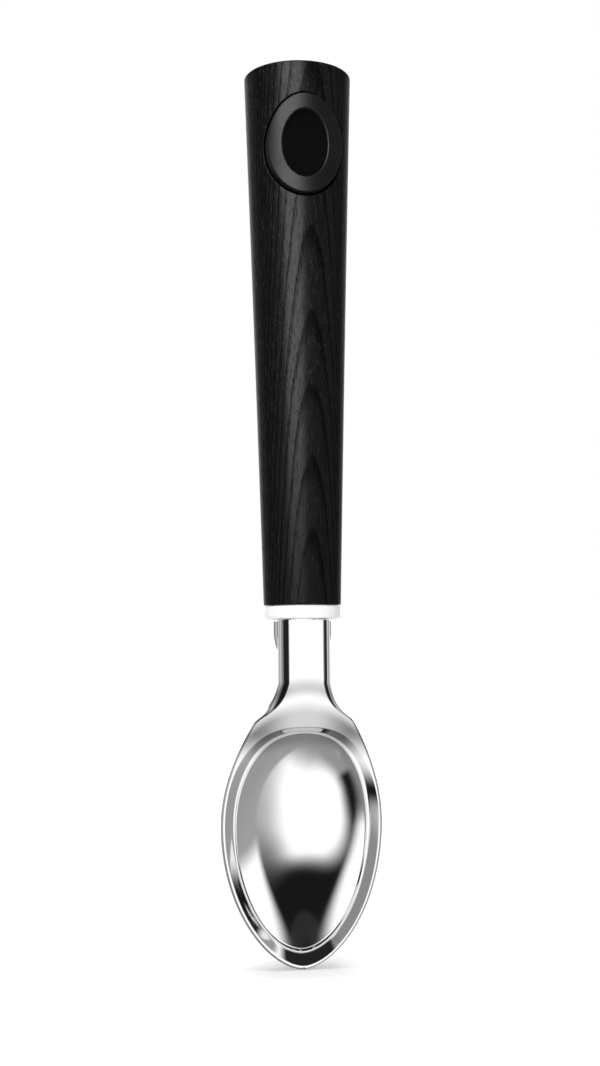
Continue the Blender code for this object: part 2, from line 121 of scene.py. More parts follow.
def smoothShade(piece, angle):
    piece.data.shade_smooth()
    piece.data.set_sharp_from_angle(angle=math.radians(angle))
    return piece


def settle(piece):
    # Turns what the modifiers give into the piece's plain mesh.
    evaluated = piece.evaluated_get(bpy.context.evaluated_depsgraph_get())
    mesh = bpy.data.meshes.new_from_object(evaluated)
    piece.modifiers.clear()
    old, piece.data = piece.data, mesh
    bpy.data.meshes.remove(old)
    mesh.name = piece.name
    return piece


def combine(piece, tool, operation):
    step = piece.modifiers.new(operation.lower(), "BOOLEAN")
    step.operation = operation
    step.solver = "EXACT"
    step.object = tool
    settle(piece)
    bpy.data.objects.remove(tool)
    return piece


def band(upper, lower):
    # The faces between two closed rows of points.
    return list(zip(upper, upper[1:] + upper[:1], lower[1:] + lower[:1], lower))


def fan(row, pole):
    return [(one, other, pole) for one, other in zip(row, row[1:] + row[:1])]


def ringSkin(name, rings, joined=False, firstPole=None, lastPole=None):
    # Skins closed rings that have the same number of points. An end without a pole gets a cap.
    count = len(rings[0])
    points = [point for ring in rings for point in ring]
    rows = [[row * count + column for column in range(count)] for row in range(len(rings))]
    pairs = list(zip(rows, rows[1:])) + ([(rows[-1], rows[0])] if joined else [])
    faces = [face for pair in pairs for face in band(*pair)]
    if not joined:
        for row, pole in ((rows[0], firstPole), (rows[-1], lastPole)):
            if pole is None:
                faces.append(tuple(row))
            else:
                points.append(pole)
                faces += fan(row, len(points) - 1)
    return faceOut(addPiece(name, points, faces))


def turnedRings(profile, steps, centre=(0.0, 0.0, 0.0)):
    x, y, top = centre
    return [
        [(x + r * math.cos(turn), y + r * math.sin(turn), top + z) for turn in fullTurn(steps)]
        for r, z in profile
    ]


def softCorner(before, corner, after, steps):
    # Points on the round that takes the place of a corner, both ends included.
    before, corner, after = (np.asarray(point, float) for point in (before, corner, after))
    shares = [k / steps for k in range(steps + 1)]
    return [before * (1 - s) ** 2 + corner * 2 * s * (1 - s) + after * s * s for s in shares]


# Head: neck, shoulder, rim, cove and bowl as one skin, in millimetres below its top face

headForm = {
    "top": -115.2,
    "neckLength": 13.8,
    "neckWidth": 12.8,
    "neckFront": 6.2,
    "neckBack": 3.5,
    "neckFillet": 11.5,
    "neckCornerPower": 6,  # more makes the corner of neck and shoulder sharper behind
    "shoulderCornerPower": 28,  # and in front
    "flankWidth": 2.2,
    "flankDepth": 3.8,
    "flankFadeStart": 0.15,
    "flankFadePower": 2.3,  # more keeps the flank wide for longer
    "flankBulge": 0.05,
    "bowlWidth": 40.0,
    "shoulderLength": 36.0,
    "shoulderEase": 1.3,
    "shoulderPower": 1.42,
    "toeLength": 34.7,
    "toePower": 0.58,
    "rimSetBack": 3.8,
    "rimLow": 0.33,
    "fallHandles": (0.1, 0.36),  # of the curve by which the face falls back to rimLow
    "toeRise": 0.5,
    "lipWidth": 1.0,
    "lipToeWidth": 1.05,
    "lipEdgeWidth": 0.6,
    "lipEdgeDepth": 0.8,
    "recessTop": 24.0,
    "recessTopPower": 0.37,
    "ridgeTopPower": 0.44,
    "ridgeToePower": 0.54,
    "coveWidth": 2.85,
    "coveTopWidth": 1.5,
    "coveToeWidth": 3.45,
    "coveTopDepth": 1.2,
    "coveToeDepth": 2.6,
    "coveSideDepth": 0.45,
    "ledgeStart": 0.78,
    "ledgeEnd": 0.9,
    "ledgeLift": 0.2,
    "bowlDepth": 8.0,
    "bowlPoint": 1.5,  # more makes the bottom of the bowl more pointed
    "bowlWall": 2.775,
    "toeWall": 1.6,
    "backFullness": 2.2,  # 2 is an oval section
    "edgeRound": 0.3,
    "rimRound": 0.25,
    "coveRound": 0.25,
    "crestRound": 0.12,
    "ridgeRound": 0.3,
    "bevelShare": 0.4,  # the most of a bevel that the round at its end takes
    "backShare": 0.3,
    "hollowShare": 0.45,  # the same for the faces of the rim, the cove and the ledge
    "crease": 38,
}
# How finely the head is divided. Below lastFullLevel the front opens into the recess.
headSteps = {
    "neck": 10,
    "fillet": 40,
    "shoulder": 40,
    "toe": 64,
    "lastFullLevel": 47,
    "frontColumns": 25,
    "flank": 8,
    "corner": 4,
    "back": 36,
    "rim": 3,
    "slope": 6,
    "bowl": 36,
}
widest = headForm["neckLength"] + headForm["shoulderLength"]
tip = widest + headForm["toeLength"]
rimLow = widest + headForm["toeLength"] * headForm["rimLow"]
middleCove = (headForm["coveTopDepth"] + headForm["coveToeDepth"] + headForm["coveSideDepth"]) / 2


def easeShare(value):
    value = np.clip(value, 0.0, 1.0)
    return value * value * (3 - 2 * value)


def ovalHalf(offset, halfLength, halfWidth, power):
    return halfWidth * np.maximum(1 - (offset / halfLength) ** 2, 0.0) ** power


def outlines(depth):
    # Half the width at this depth, as it is in front and as the back rounds off its corner.
    form = headForm
    if depth <= form["neckLength"]:
        return form["neckWidth"] / 2, form["neckWidth"] / 2
    past = depth - form["neckLength"]
    fillet = form["neckFillet"]
    neck = form["bowlWidth"]
    if past < fillet:
        neck = form["neckWidth"] / 2 + fillet - math.sqrt(fillet**2 - past**2)
    below = depth - widest
    if below > 0:
        egg = float(ovalHalf(below, form["toeLength"], form["bowlWidth"] / 2, form["toePower"]))
    else:
        reach = form["shoulderLength"] * form["shoulderEase"]
        egg = float(ovalHalf(below, reach, form["bowlWidth"] / 2, form["shoulderPower"]))
    sharp = form["shoulderCornerPower"]
    half = egg if below > 0 else (neck**-sharp + max(egg, 1e-6) ** -sharp) ** (-1 / sharp)
    half = max(half, form["neckWidth"] / 2 if below < 0 else 0.0)
    power = form["neckCornerPower"]
    fade = float(easeShare(past / fillet))
    waist = form["neckWidth"] / 2 + past**2 / (2 * fillet)
    eased = (waist**-power + max(egg, 1e-6) ** -power) ** (-1 / power)
    return half, half * (1 - fade) + eased * fade


def frontTable():
    # The face line in side view, as two lists: depth and how far forward of the axis it is.
    form = headForm
    share = np.linspace(0.0, 1.0, 4001)
    rest = 1 - share
    reach = rimLow - form["neckLength"]
    first, second = (handle * reach for handle in form["fallHandles"])
    place = 3 * rest**2 * share * first + 3 * rest * share**2 * second + share**3 * reach
    fall = 3 * rest * share**2 + share**3
    fallen = form["neckFront"] - (form["neckFront"] + form["rimSetBack"]) * fall
    toe = np.linspace(rimLow, tip, 400)[1:]
    rise = form["toeRise"] * easeShare((toe - rimLow) / (tip - rimLow))
    depths = np.concatenate([[0.0], place + form["neckLength"], toe])
    return depths, np.concatenate([[form["neckFront"]], fallen, rise - form["rimSetBack"]])


frontDepths, frontPlaces = frontTable()


def frontAt(depth):
    return np.interp(depth, frontDepths, frontPlaces)


def edgeAt(depth):
    # How wide and how deep the bevel beside the front face is.
    form = headForm
    start = form["neckLength"] + form["flankFadeStart"] * form["neckFillet"]
    end = form["neckLength"] + form["neckFillet"]
    share = np.clip((depth - start) / (end - start), 0.0, 1.0)
    share = float(easeShare(share ** form["flankFadePower"]))
    width = form["flankWidth"] + (form["lipEdgeWidth"] - form["flankWidth"]) * share
    deep = form["flankDepth"] + (form["lipEdgeDepth"] - form["flankDepth"]) * share
    return width, deep


def backDepthAt(depth):
    # How far the middle of the back lies behind the outline.
    form = headForm
    full = middleCove + form["bowlDepth"] + form["bowlWall"] - form["lipEdgeDepth"]
    below = depth - widest
    if below > 0:
        shell = float(ovalHalf(below, form["toeLength"], full, form["toePower"]))
        return (shell**4 + form["toeWall"] ** 4) ** 0.25
    side = float(frontAt(depth)) - edgeAt(depth)[1]
    deepest = full - float(frontAt(widest)) + form["lipEdgeDepth"]
    fall = float(easeShare((depth - form["neckLength"]) / form["shoulderLength"]))
    return side + form["neckBack"] + (deepest - form["neckBack"]) * fall


def outwardAt(depth):
    # The way out from the outline, as (across, down). Above the toe the edge is kept level.
    form = headForm
    below = (depth - widest) / form["toeLength"]
    if below <= 0:
        return 1.0, 0.0
    steep = form["bowlWidth"] * form["toePower"] * below / form["toeLength"]
    steep *= (1 - below**2) ** (form["toePower"] - 1)
    length = math.hypot(1.0, steep)
    return 1 / length, steep / length


def sidePoints(depth):
    # (x, depth, y) down one side of a section, from the front face round to the middle of the back.
    form = headForm
    half, eased = outlines(depth)
    edge, deep = edgeAt(depth)
    across, down = outwardAt(depth)
    outward = np.array((across, down, 0.0))
    front = float(frontAt(depth))
    behind = backDepthAt(depth)
    power = 2 / form["backFullness"]

    def arc(turn):
        aside, away = math.cos(turn) ** power, math.sin(turn) ** power
        wide = half + (eased - half) * away
        return np.array((wide * aside, depth, -front + deep + behind * away))

    sideCorner = np.array((half, depth, -front + deep))
    frontCorner = np.array((half, depth, 0.0)) - outward * edge
    frontCorner[2] = -float(frontAt(frontCorner[1]))
    bevel = sideCorner - frontCorner
    bevelLength = float(np.linalg.norm(bevel))
    bevel = bevel / bevelLength
    frontRound = min(form["edgeRound"], form["bevelShare"] * bevelLength)
    sideRound = min(frontRound, form["backShare"] * behind)
    firstTurn = math.asin((sideRound / behind) ** (1 / power))
    inward = outward * min(frontRound, form["bevelShare"] * frontCorner[0] / across)
    first, last = frontCorner + bevel * frontRound, sideCorner - bevel * sideRound
    points = softCorner(frontCorner - inward, frontCorner, first, headSteps["corner"])
    bulge = (outward * deep - np.array((0.0, 0.0, edge))) * form["flankBulge"]
    steps = headSteps["flank"]
    for step in range(1, steps):
        swell = bulge * 4 * step / steps * (1 - step / steps)
        points.append(first + (last - first) * step / steps + swell)
    points += softCorner(last, sideCorner, arc(firstTurn), headSteps["corner"])
    steps = headSteps["back"]
    for step in range(1, steps + 1):
        points.append(arc(firstTurn + (math.pi / 2 - firstTurn) * step / steps))
    points[-1][0] = 0.0
    return points


def eggPoint(turn, half, top, topPower, toe, toePower):
    # A point (x, depth) of an egg-shaped outline. The turn starts at the top and goes to the right.
    length, power = (top, topPower) if math.cos(turn) > 0 else (toe, toePower)
    across = half * max(math.sin(turn) ** 2, 0.0) ** power
    return np.array((across if math.sin(turn) >= 0 else -across, widest - length * math.cos(turn)))


def recessAt(turn):
    form = headForm
    toe = form["toeLength"] - form["lipToeWidth"]
    half = form["bowlWidth"] / 2 - form["lipWidth"]
    return eggPoint(turn, half, form["recessTop"], form["recessTopPower"], toe, form["toePower"])


def ridgeAt(turn):
    form = headForm
    toe = form["toeLength"] - form["lipToeWidth"] - form["coveToeWidth"]
    half = form["bowlWidth"] / 2 - form["lipWidth"] - form["coveWidth"]
    top = form["recessTop"] - form["coveTopWidth"]
    return eggPoint(turn, half, top, form["ridgeTopPower"], toe, form["ridgeToePower"])


def bowlSink(share):
    # How much of the bowl's depth is reached where this share of the way out to the ridge is left.
    point = headForm["bowlPoint"]
    return 1 - (math.sqrt(1 + point * share**2) - 1) / (math.sqrt(1 + point) - 1)


def hollowProfile(turn, outer):
    # Points (x, depth, y) from the rim's outer line down the cove and the bowl, all but the pole.
    form = headForm
    recess, ridge = recessAt(turn), ridgeAt(turn)
    share = (1 + math.cos(turn)) / 2
    coveDepth = form["coveTopDepth"] * share + form["coveToeDepth"] * (1 - share)
    coveDepth += form["coveSideDepth"] * math.sin(turn) ** 2

    def onFace(place, sunk=0.0):
        return np.array((place[0], place[1], sunk - float(frontAt(place[1]))))

    def onCove(step):
        # A straight slope down to a narrow ledge, which stands a little above the bowl's edge.
        sunk = coveDepth * (1 - form["ledgeLift"]) * min(step / form["ledgeStart"], 1.0)
        return onFace(recess + (ridge - recess) * step, sunk)

    def beside(corner, other, distance):
        away = other - corner
        return corner + away * min(distance / float(np.linalg.norm(away)), form["hollowShare"])

    def onBowl(scale):
        place = np.array((ridge[0] * scale, widest + (ridge[1] - widest) * scale))
        ledge = middleCove + (coveDepth - middleCove) * scale
        return onFace(place, ledge + form["bowlDepth"] * bowlSink(scale))

    away = outer - recess
    reach = float(np.linalg.norm(away))
    rimRound = min(form["rimRound"], form["hollowShare"] * reach)
    start = recess + away / reach * rimRound
    steps = headSteps["rim"]
    points = [onFace(outer + (start - outer) * k / steps) for k in range(1, steps)]
    top, valley, crest = onCove(0.0), onCove(form["ledgeStart"]), onCove(form["ledgeEnd"])
    foot = onFace(ridge, coveDepth)
    corner, edge = headSteps["corner"], form["crestRound"]
    low, high = beside(top, valley, rimRound), beside(valley, top, form["coveRound"])
    points += softCorner(onFace(start), top, low, corner)
    steps = headSteps["slope"]
    points += [low + (high - low) * k / steps for k in range(1, steps)]
    points += softCorner(high, valley, beside(valley, crest, form["coveRound"]), corner)
    points += softCorner(beside(crest, valley, edge), crest, beside(crest, foot, edge), corner)
    bowlFirst = 1 - form["ridgeRound"] / float(np.hypot(ridge[0], ridge[1] - widest))
    points += softCorner(beside(foot, crest, edge), foot, onBowl(bowlFirst), corner)
    steps = headSteps["bowl"]
    for step in range(1, steps):
        points.append(onBowl(bowlFirst * math.cos(math.pi / 2 * step / steps)))
    return points


def headLevels():
    form, steps = headForm, headSteps
    filletEnd = form["neckLength"] + form["neckFillet"]
    neck = np.linspace(0.0, form["neckLength"], steps["neck"], endpoint=False)
    fillet = np.linspace(form["neckLength"], filletEnd, steps["fillet"], endpoint=False)
    shoulder = np.linspace(filletEnd, widest, steps["shoulder"], endpoint=False)
    # Towards the tip the levels crowd together. The last is just short of it.
    toe = np.sin(np.radians(np.linspace(0.0, 89.5, steps["toe"])))
    return np.concatenate([neck, fillet, shoulder, widest + form["toeLength"] * toe])


def makeHead():
    split, columns = headSteps["lastFullLevel"], headSteps["frontColumns"]
    points, faces = [], []

    def put(x, depth, y):
        points.append((x * mm, y * mm, (headForm["top"] - depth) * mm))
        return len(points) - 1

    # Rows round the sides and the back, right to left, and across the front above the recess.
    backRows, frontRows = [], []
    for number, depth in enumerate(headLevels()):
        side = sidePoints(depth)
        row = [put(*point) for point in side]
        row += [put(-x, down, y) for x, down, y in reversed(side[:-1])]
        backRows.append(row)
        if number <= split:
            reach, _, y = side[0]
            across = [reach * (1 - 2 * k / (columns - 1)) for k in range(1, columns - 1)]
            frontRows.append([row[0], *[put(x, depth, y) for x in across], row[-1]])
    for rows in (backRows, frontRows):
        for upper, lower in zip(rows, rows[1:]):
            faces += list(zip(upper, upper[1:], lower[1:], lower))
    faces.append(tuple(backRows[0] + frontRows[0][-2:0:-1]))
    faces.append(tuple(backRows[-1]))

    # The outer line of the rim: half of the last front row, down the right, up the left.
    middle = columns // 2
    rim = [frontRows[-1][k] for k in range(middle, -1, -1)]
    rim += [row[0] for row in backRows[split + 1 :]]
    rim += [row[-1] for row in reversed(backRows[split + 1 :])]
    rim += [frontRows[-1][k] for k in range(columns - 1, middle, -1)]
    plan = [np.array((points[k][0] / mm, headForm["top"] - points[k][2] / mm)) for k in rim]

    # Each of its points gets the turn of the recess that is as far round it.
    half = len(rim) // 2 + 1
    steps = [float(np.linalg.norm(b - a)) for a, b in zip(plan[:half], plan[1:half])]
    lengths = np.cumsum([0.0] + steps)
    turns = np.linspace(0.0, math.pi, 3001)
    recess = np.array([recessAt(turn) for turn in turns])
    along = np.concatenate([[0.0], np.cumsum(np.linalg.norm(np.diff(recess, axis=0), axis=1))])
    total = lengths[-1] + plan[half - 1][0]
    right = np.interp(lengths / total * along[-1], along, turns)
    matched = list(right) + [2 * math.pi - turn for turn in reversed(right[1:])]
    rings = [rim]
    profiles = [hollowProfile(turn, outer) for turn, outer in zip(matched, plan)]
    for ring in zip(*profiles):
        rings.append([put(*point) for point in ring])
    for outer, inner in zip(rings, rings[1:]):
        faces += band(outer, inner)
    pole = put(0.0, widest, middleCove + headForm["bowlDepth"] - float(frontAt(widest)))
    faces += fan(rings[-1], pole)
    return faceOut(addPiece("scoopHead", points, faces))


bossForm = {
    "radius": 7.35,
    "setBack": 1.25,
    "shoulder": 0.25,
    "edgeBreak": 0.15,
    "straight": 3.2,
    "taperLength": 13.0,
    "taperRadius": 2.2,
    "taperPower": 1.6,
    "taperSteps": 24,
    "spigotRadius": 5.3,
    "spigotLength": 8.7,
    "seatRadius": 3.3,
    "seatTop": 12.0,
    "seatDepth": 8.6,
    "steps": 128,
}


def makeBossAndSpigot(head):
    # The round boss behind the neck, the spigot that stands on it, and the tang's seat in both.
    form = bossForm
    top = headForm["top"] * mm
    edge = form["edgeBreak"]
    boss = [
        (form["radius"] - edge, -form["shoulder"]),
        (form["radius"], -form["shoulder"] - edge),
    ]
    for step in range(form["taperSteps"] + 1):
        share = step / form["taperSteps"]
        shrink = (form["radius"] - form["taperRadius"]) * share ** form["taperPower"]
        boss.append((form["radius"] - shrink, -form["straight"] - form["taperLength"] * share))
    spigot = [(form["spigotRadius"], z) for z in (form["spigotLength"], -form["straight"])]
    seat = [(form["seatRadius"], z) for z in (form["seatTop"], -form["seatDepth"])]
    for name, profile, setBack, operation in (
        ("boss", boss, form["setBack"] * mm, "UNION"),
        ("spigot", spigot, 0.0, "UNION"),
        ("seat", seat, 0.0, "DIFFERENCE"),
    ):
        profile = [(r * mm, z * mm) for r, z in profile]
        rings = turnedRings(profile, form["steps"], (0.0, setBack, top))
        combine(head, ringSkin(name, rings), operation)
    return head


scoopHead = smoothShade(makeBossAndSpigot(makeHead()), headForm["crease"])
print("head:", len(scoopHead.data.polygons), "faces")


# Handle: a turned taper, made with Geometry Nodes, then cut for the eyelet and the tang

handleForm = {
    "Length": 132.1 * mm,
    "Nose Height": -111.5 * mm,
    "End Radius": 13.35 * mm,
    "Nose Radius": 9.45 * mm,
    "Hollow": 0.11 * mm,
    "End Break": 0.35 * mm,
    "Nose Break": 0.2 * mm,
    "Sides": 192,
    "Rings": 140,
}
# The cuts, in millimetres from the middle of the hanging hole
handleCuts = {
    "tangRadius": 3.3,
    "tangTop": -34.5,
    "collarRadius": 7.4,
    "collarDepth": 6.0,
    "sleeveX": 7.3,
    "sleeveZ": 10.1,
    "pocketX": 9.65,
    "pocketZ": 12.7,
    "pocketFloor": 9.78,
    "mouthRound": 0.35,
    "mouthRise": 0.05,
    "mouthFlare": 1.01,
    "outside": 16.0,  # how far from the axis a cutter reaches
    "overrun": 2.0,
    "steps": 144,
    "boreSteps": 96,
    "crease": 38,
}


def addNodes(tree):
    # Gives two short calls for a tree: one adds a node with its settings, the other a sum.
    def node(kind, inputs=(), **settings):
        made = tree.nodes.new(kind)
        for key, value in settings.items():
            setattr(made, key, value)
        for key, value in dict(inputs).items():
            if isinstance(value, bpy.types.NodeSocket):
                tree.links.new(value, made.inputs[key])
            else:
                made.inputs[key].default_value = value
        return made

    def sums(operation, *values):
        return node("ShaderNodeMath", enumerate(values), operation=operation).outputs[0]

    return node, sums


def turnedHandleTree():
    tree = bpy.data.node_groups.new("turnedHandle", "GeometryNodeTree")
    tree.interface.new_socket(name="Geometry", in_out="OUTPUT", socket_type="NodeSocketGeometry")
    for name, value in handleForm.items():
        kind = "NodeSocketInt" if isinstance(value, int) else "NodeSocketFloat"
        tree.interface.new_socket(name=name, in_out="INPUT", socket_type=kind)
    tree.interface.new_socket(name="Material", in_out="INPUT", socket_type="NodeSocketMaterial")
    node, sums = addNodes(tree)
    sizes = node("NodeGroupInput").outputs
    bar = node(
        "GeometryNodeMeshCylinder",
        {"Vertices": sizes["Sides"], "Side Segments": sizes["Rings"], "Radius": 1.0, "Depth": 2.0},
        fill_type="NGON",
    )
    place = node("GeometryNodeInputPosition").outputs[0]
    apart = node("ShaderNodeSeparateXYZ", {0: place}).outputs
    # Rings crowd towards both ends, so that the broken edges are round.
    swing = sums("MULTIPLY", sums("ADD", apart["Z"], 1.0), math.pi / 2)
    share = sums("MULTIPLY", sums("SUBTRACT", 1.0, sums("COSINE", swing)), 0.5)
    height = sums("MULTIPLY", share, sizes["Length"])
    spread = sums("SUBTRACT", sizes["End Radius"], sizes["Nose Radius"])
    radius = sums("ADD", sizes["Nose Radius"], sums("MULTIPLY", spread, share))
    waist = sums("MULTIPLY", sums("MULTIPLY", share, sums("SUBTRACT", 1.0, share)), 4.0)
    radius = sums("SUBTRACT", radius, sums("MULTIPLY", waist, sizes["Hollow"]))
    toEnd = sums("SUBTRACT", sizes["Length"], height)
    for edge, distance in ((sizes["End Break"], toEnd), (sizes["Nose Break"], height)):
        inside = sums("MAXIMUM", sums("SUBTRACT", edge, distance), 0.0)
        square = sums("SUBTRACT", sums("MULTIPLY", edge, edge), sums("MULTIPLY", inside, inside))
        root = sums("SQRT", sums("MAXIMUM", square, 0.0))
        radius = sums("SUBTRACT", radius, sums("SUBTRACT", edge, root))
    shifted = {
        "X": sums("MULTIPLY", apart["X"], radius),
        "Y": sums("MULTIPLY", apart["Y"], radius),
        "Z": sums("ADD", height, sizes["Nose Height"]),
    }
    place = node("ShaderNodeCombineXYZ", shifted).outputs[0]
    skin = node("GeometryNodeSetPosition", {0: bar.outputs["Mesh"], "Position": place}).outputs[0]
    skin = node("GeometryNodeRealizeInstances", {0: skin}).outputs[0]
    skin = node("GeometryNodeSetMaterial", {0: skin, "Material": sizes["Material"]}).outputs[0]
    node("NodeGroupOutput", {"Geometry": skin})
    return tree


def handleRadius(z):
    share = (z - handleForm["Nose Height"]) / handleForm["Length"]
    nose, end = handleForm["Nose Radius"], handleForm["End Radius"]
    return nose + (end - nose) * share - handleForm["Hollow"] * 4 * share * (1 - share)


def pocketCutter(side):
    # The eyelet's pocket, with a rounded mouth that follows the handle's side. side is -1 in front.
    cuts = handleCuts

    def surface(x, z):
        return math.sqrt(handleRadius(z) ** 2 - x * x)

    lines = []
    across, up = cuts["pocketX"] * mm, cuts["pocketZ"] * mm
    mouth, floor = cuts["mouthRound"] * mm, cuts["pocketFloor"] * mm
    outside, flare = cuts["outside"] * mm, cuts["mouthFlare"]
    for turn in fullTurn(cuts["steps"]):
        c, s = math.cos(turn), math.sin(turn)
        wide = (across + mouth) * c, (up + mouth) * s
        edge = across * c, up * s
        lip = (wide[0], surface(*wide), wide[1])
        corner = (edge[0], surface(*edge), edge[1])
        wall = (edge[0], surface(*edge) - mouth, edge[1])
        line = [(wide[0] * flare, outside, wide[1] * flare)]
        line.append((wide[0] * flare, lip[1] + cuts["mouthRise"] * mm, wide[1] * flare))
        line += [tuple(p) for p in softCorner(lip, corner, wall, 6)]
        for scale in (1.0, 0.8, 0.6, 0.4, 0.2):
            x, z = edge[0] * scale, edge[1] * scale
            line.append((x, math.sqrt(floor**2 - x**2), z))
        lines.append([(x, side * y, z) for x, y, z in line])
    rings = [list(ring) for ring in zip(*lines)]
    return ringSkin(
        "pocket", rings, firstPole=(0.0, side * outside, 0.0), lastPole=(0.0, side * floor, 0.0)
    )


def makeHandle(material):
    base = addPiece("handleBody", [], [])
    turned = base.modifiers.new("turned", "NODES")
    turned.node_group = turnedHandleTree()
    for item in turned.node_group.interface.items_tree:
        if item.in_out == "INPUT":
            turned[item.identifier] = material if item.name == "Material" else handleForm[item.name]
    settle(base)
    cuts = handleCuts
    across, up = cuts["sleeveX"] * mm, cuts["sleeveZ"] * mm
    sleeve = [
        [(across * math.cos(turn), y * mm, up * math.sin(turn)) for turn in fullTurn(cuts["steps"])]
        for y in (-cuts["outside"], cuts["outside"])
    ]
    combine(base, ringSkin("sleeve", sleeve), "DIFFERENCE")
    for side in (-1, 1):
        combine(base, pocketCutter(side), "DIFFERENCE")
    nose = handleForm["Nose Height"]
    step = nose + cuts["collarDepth"] * mm
    bore = [
        (cuts["collarRadius"] * mm, nose - cuts["overrun"] * mm),
        (cuts["collarRadius"] * mm, step),
        (cuts["tangRadius"] * mm, step),
        (cuts["tangRadius"] * mm, cuts["tangTop"] * mm),
    ]
    combine(base, ringSkin("bore", turnedRings(bore, cuts["boreSteps"])), "DIFFERENCE")
    return base


# Eyelet: two moulded halves, each one skin drawn through ovals round the hole, in millimetres

eyeletForm = {
    "holeX": 5.4,
    "holeZ": 8.2,
    "lipX": 0.75,
    "lipZ": 0.4,
    "lipDepth": 0.7,
    "wall": 1.6,
    "overhangX": 2.25,
    "overhangZ": 2.5,
    "faceOut": 13.68,
    "faceRadius": 16.5,
    "faceLean": 0.02945,
    "thickness": 3.6,
    "edgeRound": 0.35,
    "tongueWall": 0.65,
    "tongueLength": 3.0,
    "gap": 0.3,
    "liningRing": -6.0,  # divides the long wall inside the hole
    "steps": 192,
    "lipSteps": 8,
    "faceSteps": 12,
    "edgeSteps": 6,
    "crease": 40,
}


def makeEyelet(name, tongue, side):
    form = eyeletForm
    seat = form["faceOut"] - form["thickness"]

    def face(x, z, drop=0.0):
        dome = form["faceRadius"] - math.sqrt(form["faceRadius"] ** 2 - x * x)
        return -form["faceOut"] + dome - z * form["faceLean"] + drop

    def ring(growX, growZ, place):
        points = []
        for turn in fullTurn(form["steps"]):
            x = (form["holeX"] + growX) * math.cos(turn)
            z = (form["holeZ"] + growZ) * math.sin(turn)
            points.append((x * mm * -side, place(x, z) * mm * -side, z * mm))
        return points

    def seatAt(x, z):
        return -math.sqrt(seat**2 - x * x)

    wide, tall = form["wall"] + form["overhangX"], form["wall"] + form["overhangZ"]
    stepWall = form["tongueWall"] if tongue else form["tongueWall"] + form["gap"]
    foot = form["tongueLength"] if tongue else -form["tongueLength"] - form["gap"]
    middle = -form["gap"] / 2
    rings = [ring(0.0, 0.0, lambda x, z: foot), ring(0.0, 0.0, lambda x, z: form["liningRing"])]
    for swing in reversed(quarterTurn(form["lipSteps"])):
        grow = 1 - math.sin(swing)
        drop = form["lipDepth"] * (1 - math.cos(swing))
        rings.append(ring(form["lipX"] * grow, form["lipZ"] * grow, lambda x, z: face(x, z, drop)))
    edge = form["edgeRound"]
    for step in range(1, form["faceSteps"]):
        share = step / form["faceSteps"]
        growX = form["lipX"] + (wide - edge - form["lipX"]) * share
        growZ = form["lipZ"] + (tall - edge - form["lipZ"]) * share
        rings.append(ring(growX, growZ, face))
    for swing in quarterTurn(form["edgeSteps"]):
        out, drop = edge * math.sin(swing), edge * (1 - math.cos(swing))
        rings.append(ring(wide - edge + out, tall - edge + out, lambda x, z: face(x, z, drop)))
    wall = form["wall"]
    rings += [
        ring(wide, tall, seatAt),
        ring((wide + wall) / 2, (tall + wall) / 2, seatAt),
        ring(wall, wall, seatAt),
        ring(wall, wall, lambda x, z: middle),
        ring(stepWall, stepWall, lambda x, z: middle),
        ring(stepWall, stepWall, lambda x, z: foot),
    ]
    return smoothShade(ringSkin(name, rings, joined=True), form["crease"])


# Collar: a ring under the handle, with a sleeve that goes up into it

collarForm = {
    "radius": 9.3,
    "height": 3.1,
    "fillet": 0.8,
    "topBreak": 0.15,
    "bore": 5.6,
    "sleeveRadius": 7.1,
    "sleeveLength": 5.7,
    "top": -111.8,
    "steps": 192,
    "topSteps": 4,
    "filletSteps": 12,
    "crease": 40,
}


def makeCollar():
    form = collarForm
    profile = [(form["bore"], form["sleeveLength"]), (form["sleeveRadius"], form["sleeveLength"])]
    profile += [(form["sleeveRadius"], 0.0)]
    edge = form["topBreak"]
    for swing in quarterTurn(form["topSteps"]):
        radius = form["radius"] - edge * (1 - math.sin(swing))
        profile.append((radius, -edge * (1 - math.cos(swing))))
    edge = form["fillet"]
    for swing in quarterTurn(form["filletSteps"]):
        radius = form["radius"] - edge * (1 - math.cos(swing))
        profile.append((radius, -form["height"] + edge * (1 - math.sin(swing))))
    profile.append((form["bore"], -form["height"]))
    profile = [(r * mm, z * mm) for r, z in profile]
    rings = turnedRings(profile, form["steps"], (0.0, 0.0, form["top"] * mm))
    return smoothShade(ringSkin("collar", rings, joined=True), form["crease"])


# Materials, all on the pieces' own coordinates. The sizes of grains are in millimetres.


def newMaterial(name):
    material = bpy.data.materials.new(name)
    material.use_nodes = True
    tree = material.node_tree
    node, sums = addNodes(tree)
    return material, tree, tree.nodes["Principled BSDF"], node, sums


def grainMaker(node):
    # Gives the place on the piece, and a call for noise with grains of these sizes.
    place = node("ShaderNodeTexCoord").outputs["Object"]

    def grain(sizes, detail=2.0, rough=0.5):
        scale = tuple(1000.0 / size for size in sizes)
        stretched = node("ShaderNodeMapping", {"Vector": place, "Scale": scale}).outputs[0]
        settings = {"Vector": stretched, "Scale": 1.0, "Detail": detail, "Roughness": rough}
        return node("ShaderNodeTexNoise", settings).outputs[0]

    return place, grain


def span(node, value, low, high, fromLow=0.3, fromHigh=0.7, smooth=False):
    settings = {"interpolation_type": "SMOOTHSTEP"} if smooth else {}
    limits = {"From Min": fromLow, "From Max": fromHigh, "To Min": low, "To Max": high}
    return node("ShaderNodeMapRange", {"Value": value, **limits}, **settings).outputs[0]


def blend(node, share, *colours):
    # Each of the two colours is given as it is or as the socket that it comes from.
    first, second = (c if isinstance(c, bpy.types.NodeSocket) else (*c, 1.0) for c in colours)
    return node("ShaderNodeMix", {0: share, 6: first, 7: second}, data_type="RGBA").outputs[2]


